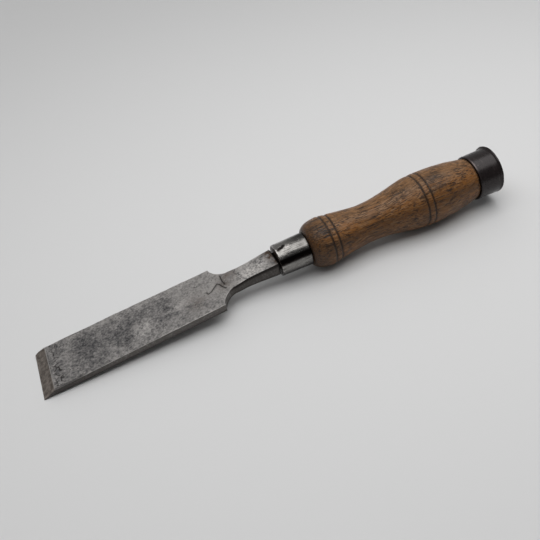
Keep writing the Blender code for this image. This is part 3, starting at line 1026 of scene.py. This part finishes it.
# Stains longer along the grain than across it: place along the axis, turn in degrees, radius and strength.
SMUDGE_LONG = 1.5
SMUDGE_WIDE = 0.8
SMUDGES = (
    (0.2360, 102.0, 0.0034, 1.0),
    (0.2350, 132.0, 0.0030, 0.9),
    (0.2400, 134.0, 0.0028, 0.9),
    (0.2407, 139.5, 0.0022, 0.9),
    (0.2153, 102.0, 0.0030, 0.9),
    (0.2130, 105.0, 0.0025, 0.7),
    (0.1817, 93.0, 0.0025, 0.7),
    (0.1953, 131.0, 0.0013, 1.0),
    (0.1800, 170.0, 0.0030, 0.6),
    (0.2060, 285.0, 0.0040, 0.8),
    (0.2440, 330.0, 0.0035, 0.8),
    (0.1870, 20.0, 0.0030, 0.7),
)
# Long open pores on the front shoulder: start, end and turn in degrees.
BAR_PLACES = (
    (0.1600, 0.1646, 96.5),
    (0.1618, 0.1664, 104.0),
    (0.1633, 0.1679, 112.0),
    (0.1642, 0.1683, 118.0),
    (0.1650, 0.1683, 123.5),
    (0.1655, 0.1683, 131.0),
    (0.1640, 0.1680, 152.0),
    (0.1630, 0.1672, 75.0),
)


def handle_stations(scene):
    """Places along the axis."""
    sizes = scene.chisel_handle
    front, rear = ferrule_ends(scene)
    gap = scene.chisel_ferrule.clearance
    steps = (sizes.shoulder_round, sizes.bead_to_waist, sizes.waist_to_swell, sizes.swell_to_hoop)
    shown = np.cumsum((rear + gap, *steps))
    hoop_rear = shown[-1] + gap + scene.chisel_hoop.hoop_length
    return Stations(front, *shown, hoop_rear, hoop_rear + sizes.butt_proud)


def show_radius(scene, u):
    """Radius of the turned face: a quarter ellipse to the bead, a power curve down to the waist, a delayed
    ease up to the swell, and a power curve down to the barrel's end.
    """
    sizes, at = scene.chisel_handle, handle_stations(scene)
    bead_r, waist_r = sizes.bead_diameter / 2.0, sizes.waist_diameter / 2.0
    swell_r, end_r = sizes.swell_diameter / 2.0, sizes.barrel_end_diameter / 2.0
    ahead = limit((at.bead - u) / sizes.shoulder_round)
    nose = between(scene.chisel_ferrule.rear_diameter / 2.0, bead_r, np.sqrt(1.0 - ahead**2))
    drop = limit((at.waist - u) / sizes.bead_to_waist)
    grip = between(waist_r, bead_r, drop**sizes.waist_fall)
    climb = limit((u - at.waist) / sizes.waist_to_swell)
    swelling = between(waist_r, swell_r, ease(climb**sizes.swell_rise))
    past = limit((u - at.swell) / sizes.swell_to_hoop)
    barrel = between(swell_r, end_r, past**sizes.barrel_fall)
    return np.select([u < at.bead, u < at.waist, u < at.swell], [nose, grip, swelling], barrel)


def cut_lines(scene):
    """Middles of the two pairs of cut lines."""
    sizes, at = scene.chisel_handle, handle_stations(scene)
    first = at.bead + sizes.bead_line_behind
    last = at.swell - sizes.swell_line_ahead
    return first, first + sizes.line_pitch, last - sizes.line_pitch, last


def handle_path(scene):
    """Rows of the handle from the blind end of its socket, out over the front, along the turned face and
    round the butt: places and radii, and which rows lie in the socket, on the show face and on the end.
    """
    sizes, ferrule, hoop = scene.chisel_handle, scene.chisel_ferrule, scene.chisel_hoop
    at = handle_stations(scene)
    spigot = ferrule.front_diameter / 2.0 - ferrule.wall - ferrule.clearance
    rear_spigot = hoop.front_diameter / 2.0 - hoop.wall - ferrule.clearance
    tip = neck_end_of(scene.chisel_blade) + scene.chisel_blade.tang_length + ferrule.clearance
    turn = sizes.shoulder_round * (1.0 - np.cos(np.linspace(0.0, np.pi / 2.0, 30)[:-1]))
    rest = places((at.bead, at.swell, 190), (at.swell, at.barrel_end, 84))
    show_u = np.concatenate((at.shoulder + turn, rest))
    show = np.stack((show_u, show_radius(scene, show_u)), axis=-1)
    bend_u, bend_r = at.butt - sizes.butt_round, rear_spigot - sizes.butt_round
    bend = round_rim(bend_u, bend_r, sizes.butt_round, np.pi / 2.0, 0.0, 7)
    parts = (
        straight((tip, 0.0), (at.front, 0.0), 14, skip_first=False, skip_last=False),
        straight((at.front, FACE_INNER * spigot), (at.front, spigot), 4, skip_first=False, skip_last=False),
        straight((at.front, spigot), (at.shoulder, spigot), 6, skip_last=False),
        show,
        straight(show[-1], (at.barrel_end, rear_spigot), 3, skip_last=False),
        straight((at.barrel_end, rear_spigot), (bend_u, rear_spigot), 8, skip_last=False),
        bend[1:],
        straight((at.butt, bend_r), (at.butt, BUTT_MIDDLE), 14, skip_last=False),
    )
    kind = np.repeat(np.arange(len(parts)), [len(part) for part in parts])
    return np.concatenate(parts), kind == 0, kind == 3, kind == len(parts) - 1


def smudges(u, angle):
    """Soft dark stains at places along the axis and turns round it."""
    cloud = np.zeros(np.broadcast_shapes(u.shape, angle.shape))
    for along, turn, radius, strength in SMUDGES:
        across = (angle - math.radians(turn)) * MEAN_RADIUS / (SMUDGE_WIDE * radius)
        cloud = np.maximum(cloud, strength * bell((u - along) / (SMUDGE_LONG * radius)) * bell(across))
    return cloud


def socket_radius(scene, angle, rows):
    """The tang's socket in polar form: a rectangle that tapers to the tang's tip, with room round it."""
    blade, gap = scene.chisel_blade, scene.chisel_ferrule.clearance
    part = np.linspace(1.0, 0.0, rows)[:, None]
    half = between(blade.tang_width, blade.tang_tip, part) / 2.0 + gap
    tall = between(blade.tang_height, blade.tang_tip, part) / 2.0 + gap
    to_side = half / np.maximum(np.abs(np.cos(angle)), LEAST_COSINE)
    return np.minimum(to_side, tall / np.maximum(np.abs(np.sin(angle)), LEAST_COSINE))


def handle_surface(scene):
    """The handle as one closed surface. The socket's rows are rectangles, the rest are circles, and the show
    face carries the cut lines, dents, pores and an uneven, hand-worn roundness.
    """
    sizes = scene.chisel_handle
    path, socket, show, end = handle_path(scene)
    angle = np.linspace(0.0, 2.0 * np.pi, HANDLE_COLUMNS, endpoint=False)
    radius = np.repeat(path[:, 1:], HANDLE_COLUMNS, axis=1)
    radius[socket] = socket_radius(scene, angle, socket.sum())
    grid, angle = turned(path[:, 0], radius, HANDLE_COLUMNS)
    u, shown, struck = path[:, :1], show[:, None], end[:, None]
    first, last = path[show, 0].min(), path[show, 0].max()
    away = np.min([np.abs(u - middle) for middle in cut_lines(scene)], axis=0)
    line = limit(1.0 - away / (sizes.line_width / 2.0)) * np.ones(HANDLE_COLUMNS) * shown
    draw = np.random.default_rng(DENT_SEED)
    along = draw.uniform(first + DENT_MARGINS[0], last - DENT_MARGINS[1], DENT_COUNT)
    centres = np.stack((along, draw.uniform(0.0, 2.0 * np.pi, DENT_COUNT) * MEAN_RADIUS), axis=-1)
    where = np.stack(np.broadcast_arrays(u, angle * MEAN_RADIUS), axis=-1)
    dents = hollows(where, centres, draw.uniform(*DENT_RADII, DENT_COUNT)) * shown
    turns = [(start, stop, math.radians(turn) * MEAN_RADIUS) for start, stop, turn in BAR_PLACES]
    pores = [near_line(where, ((start, side), (stop, side)), BAR_WIDTH) for start, stop, side in turns]
    bars = strongest(*pores) * shown
    worn = WORN_WAVES[0] * ripples(grid, WORN_WAVES[1], seed=32)
    worn = worn + RUBBED_WAVES[0] * ripples(grid, RUBBED_WAVES[1], seed=33)
    worn = worn * limit((u - first) / WORN_FADE) * limit((last - u) / WORN_FADE)
    depth = sizes.line_depth * line**0.7 + WOOD_DENT_DEPTH * dents + BAR_DEPTH * bars
    push_out(grid, angle, (worn - depth) * shown)
    grid[..., 0] += (BUTT_WAVES[0] * ripples(grid, BUTT_WAVES[1], seed=34) - BUTT_HOLLOW) * struck
    # Painted shadow on the wood next to the ferrule and the hoop.
    rim = bell((u - first) / FRONT_JOINT_SHADE) + bell((u - last) / REAR_JOINT_SHADE)
    hidden = 1.0 - shown - struck
    grime_and_shade = strongest(line**0.6, 0.5 * dents, bars**0.6, 0.5 * rim * shown, 0.9 * hidden)
    dust_and_sheen = limit(0.75 + 0.25 * ripples(grid, wavelength=0.012, seed=35))
    front_shade = 1.0 - rise(u, first, DARK_FRONT)
    marks = {
        "grime_and_shade": limit(grime_and_shade),
        "dust_and_sheen": round_bell(angle, DUSTY_SHEEN_SIDE, DUSTY_SHEEN_WIDTH) * dust_and_sheen,
        "warm": round_bell(angle, WARM_SIDE, WARM_WIDTH) * rise(u, first + WARM_START[0], WARM_START[1]),
        "shade": np.maximum(front_shade, 0.75 * round_bell(angle, DARK_SIDE, DARK_WIDTH)),
        "smudge": smudges(u, angle),
    }
    return grid, marks


class CHISEL_OT_turn_handle(bpy.types.Operator):
    """Makes the turned wooden handle with its cut lines and its socket for the tang"""

    bl_idname = "chisel.turn_handle"
    bl_label = "Turn handle"

    def execute(self, context):
        scene = context.scene
        grid, marks = handle_surface(scene)
        piece = closed_surface("turned_handle", grid, marks=marks)
        dress(piece, turned_wood(scene.chisel_colours), "handle")
        return {"FINISHED"}


# Hoop

LIP_MEAN = 0.62
LIP_SIDE = math.radians(50.0)
LIP_BEAT = (0.00008, 0.009)
# The lip is beaten in streaks along the axis, so its waves are slower that way.
BEAT_STRETCH = (0.2, 1.0, 1.0)
# Painted highlight on the hoop's front rim and the specks behind it: the lit side's angle and width, the
# rim's width, and the specks' place and spread.
HIGHLIT_SIDE = math.radians(110.0)
HIGHLIT_WIDTH = 0.30
HIGHLIT_RIM = 0.0005
SCUFFS_AND_HIGHLIGHT = (0.002, 0.0018)


def hoop_surface(scene):
    """A ring: a near straight outside, a lip flared unevenly at the rear, and a bore."""
    sizes, at = scene.chisel_hoop, handle_stations(scene)
    front, rear = at.barrel_end + scene.chisel_ferrule.clearance, at.hoop_rear
    slim, wide, lip = sizes.front_diameter / 2.0, sizes.rear_diameter / 2.0, sizes.lip_diameter / 2.0
    bore, rim = slim - sizes.wall, sizes.rim
    flare = rear - sizes.lip_length
    flare_end = flare + sizes.lip_flare
    outside = np.concatenate((
        straight((front + rim, slim), (flare, wide), 32),
        straight((flare, wide), (flare_end, lip), 6),
        straight((flare_end, lip), (rear - rim, lip), 2),
    ))
    face = straight((rear, lip - rim), (rear, bore + rim), 5)
    profile = ring_profile((front, slim), (rear, lip), bore, rim, outside, face)
    grid, angle = turned(profile[:, 0], profile[:, 1:], RING_COLUMNS)
    outer = outside_share(profile[:, 1:], bore, sizes.wall, HOOP_OUTSIDE)
    struck = limit((profile[:, :1] - flare) / sizes.lip_flare) * outer
    spread = LIP_MEAN + (1.0 - LIP_MEAN) * np.cos(angle - LIP_SIDE)
    beat = LIP_BEAT[0] * np.clip(ripples(grid * BEAT_STRETCH, LIP_BEAT[1], seed=41), 0.0, 2.0)
    push_out(grid, angle, -((lip - wide) * (1.0 - spread) + beat) * struck)
    along = profile[:, :1] - front
    # The lit side of the front, where the painted highlight goes.
    rubbed = round_bell(angle, HIGHLIT_SIDE, HIGHLIT_WIDTH) * outer
    marks = {
        "rim": bell(along / HIGHLIT_RIM) * rubbed,
        "scuffs_and_highlight": bell((along - SCUFFS_AND_HIGHLIGHT[0]) / SCUFFS_AND_HIGHLIGHT[1]) * rubbed,
    }
    return grid, marks


class CHISEL_OT_fit_hoop(bpy.types.Operator):
    """Makes the black striking hoop with its flared rear lip"""

    bl_idname = "chisel.fit_hoop"
    bl_label = "Fit hoop"

    def execute(self, context):
        scene = context.scene
        grid, marks = hoop_surface(scene)
        piece = closed_surface("hoop_ring", grid, ring=True, marks=marks)
        dress(piece, hoop_steel(scene.chisel_colours), "striking_hoop")
        return {"FINISHED"}


# Stage

# Each lamp's name, place, width and depth, power, and whether polished steel mirrors it.
SOFT_BOXES = (
    ("overhead_box", (0.10, -0.02, 0.50), (0.80, 0.44), 2.42, True),
    ("back_box", (-0.08, 0.55, 0.45), (1.40, 1.00), 2.30, False),
    ("front_box", (0.00, -0.50, 0.90), (1.50, 1.00), 0.85, False),
)
ROOM_NEAR = 0.07
ROOM_FAR = 0.38
# The y of a direction where the room starts to turn paler, and where it is palest.
ROOM_TURN = (-0.3, 0.6)
NEAREST_SEEN = 0.01


class StageSizes(bpy.types.PropertyGroup):
    """The camera and the floor."""

    azimuth: heading("Azimuth", 14.3312, "Camera's heading")
    elevation: heading("Elevation", 42.6982, "How far the camera looks down")
    roll: heading("Roll", -12.4331, "Camera's roll")
    distance: length("Distance", 0.38758, "Camera to the point on the floor that it looks at")
    target_x: length("Target x", -0.001806, "Point on the floor along the tool")
    target_y: length("Target y", 0.009495, "Point on the floor across the tool")
    lens: FloatProperty(name="Lens", default=45.46, unit="CAMERA", description="Focal length in millimetres")
    floor_side: length("Floor side", 6.0, "Side of the square floor")


def place_camera(stage):
    """A camera that looks at a point on the floor from a heading, a height and a roll."""
    azimuth, elevation = stage.azimuth, stage.elevation
    level = math.cos(elevation)
    back = Vector((-level * math.sin(azimuth), -level * math.cos(azimuth), math.sin(elevation)))
    right = Vector((math.cos(azimuth), -math.sin(azimuth), 0.0))
    upward = back.cross(right)
    turn = Matrix.Rotation(stage.roll, 3, back)
    camera = bpy.data.objects.new("photo_camera", bpy.data.cameras.new("photo_camera"))
    bpy.context.scene.collection.objects.link(camera)
    camera.data.lens = stage.lens
    camera.data.clip_start = NEAREST_SEEN
    axes = Matrix((turn @ right, turn @ upward, back)).transposed().to_4x4()
    axes.translation = Vector((stage.target_x, stage.target_y, 0.0)) + back * stage.distance
    camera.matrix_world = axes
    bpy.context.scene.camera = camera


def soft_box(name, place, size, power, mirrored):
    """An oblong lamp that faces the middle of the tool, its width level along the tool."""
    lamp = bpy.data.lights.new(name, "AREA")
    lamp.shape = "RECTANGLE"
    lamp.size, lamp.size_y = size
    lamp.energy = power
    holder = bpy.data.objects.new(name, lamp)
    holder.location = place
    outward = Vector(place).normalized()
    level = Vector((0.0, 1.0, 0.0)).cross(outward).normalized()
    holder.rotation_euler = Matrix((level, outward.cross(level), outward)).transposed().to_euler()
    holder.visible_glossy = mirrored
    bpy.context.scene.collection.objects.link(holder)


def lay_floor(stage, colours):
    half = stage.floor_side / 2.0
    corners = [(-half, -half, 0.0), (half, -half, 0.0), (half, half, 0.0), (-half, half, 0.0)]
    mesh = bpy.data.meshes.new("floor")
    mesh.from_pydata(corners, [], [(0, 1, 2, 3)])
    mesh.materials.append(pale_floor(colours))
    floor = bpy.data.objects.new("floor", mesh)
    bpy.context.scene.collection.objects.link(floor)


def dim_room():
    """A room without lamps: dark on the camera's side and paler behind the tool, by a direction's y."""
    world = bpy.data.worlds.new("studio")
    world.use_nodes = True
    nodes, links = world.node_tree.nodes, world.node_tree.links
    direction = nodes.new("ShaderNodeTexCoord")
    parts = nodes.new("ShaderNodeSeparateXYZ")
    level = nodes.new("ShaderNodeMapRange")
    level.interpolation_type = "SMOOTHSTEP"
    limits = zip(("From Min", "From Max", "To Min", "To Max"), (*ROOM_TURN, ROOM_NEAR, ROOM_FAR))
    for key, value in limits:
        level.inputs[key].default_value = value
    background = nodes["Background"]
    background.inputs["Color"].default_value = (1.0, 1.0, 1.0, 1.0)
    links.new(direction.outputs["Generated"], parts.inputs["Vector"])
    links.new(parts.outputs["Y"], level.inputs["Value"])
    links.new(level.outputs["Result"], background.inputs["Strength"])
    bpy.context.scene.world = world


class CHISEL_OT_set_stage(bpy.types.Operator):
    """Lays the floor and places the lamps and the camera"""

    bl_idname = "chisel.set_stage"
    bl_label = "Set stage"

    def execute(self, context):
        scene = context.scene
        scene.view_settings.view_transform = "Standard"
        lay_floor(scene.chisel_stage, scene.chisel_colours)
        for box in SOFT_BOXES:
            soft_box(*box)
        dim_room()
        place_camera(scene.chisel_stage)
        return {"FINISHED"}


class VIEW3D_PT_chisel(bpy.types.Panel):
    """Lists the operators that make the chisel"""

    bl_idname = "VIEW3D_PT_chisel"
    bl_label = "Chisel"
    bl_space_type = "VIEW_3D"
    bl_region_type = "UI"
    bl_category = "Chisel"

    def draw(self, context):
        for operator in OPERATORS:
            self.layout.operator(operator.bl_idname)


OPERATORS = (
    CHISEL_OT_forge_blade,
    CHISEL_OT_turn_ferrule,
    CHISEL_OT_turn_handle,
    CHISEL_OT_fit_hoop,
    CHISEL_OT_set_stage,
)
GROUPS = {
    "chisel_blade": BladeSizes,
    "chisel_ferrule": FerruleSizes,
    "chisel_handle": HandleSizes,
    "chisel_hoop": HoopSizes,
    "chisel_colours": FinishColours,
    "chisel_stage": StageSizes,
}


def register():
    for group in GROUPS.values():
        bpy.utils.register_class(group)
    for name, group in GROUPS.items():
        setattr(bpy.types.Scene, name, PointerProperty(type=group))
    for operator in OPERATORS:
        bpy.utils.register_class(operator)
    bpy.utils.register_class(VIEW3D_PT_chisel)


def unregister():
    bpy.utils.unregister_class(VIEW3D_PT_chisel)
    for operator in reversed(OPERATORS):
        bpy.utils.unregister_class(operator)
    for name in GROUPS:
        delattr(bpy.types.Scene, name)
    for group in reversed(GROUPS.values()):
        bpy.utils.unregister_class(group)


def main():
    register()
    bpy.ops.chisel.set_stage()
    bpy.ops.chisel.forge_blade()
    bpy.ops.chisel.turn_ferrule()
    bpy.ops.chisel.turn_handle()
    bpy.ops.chisel.fit_hoop()


if __name__ == "__main__":
    main()
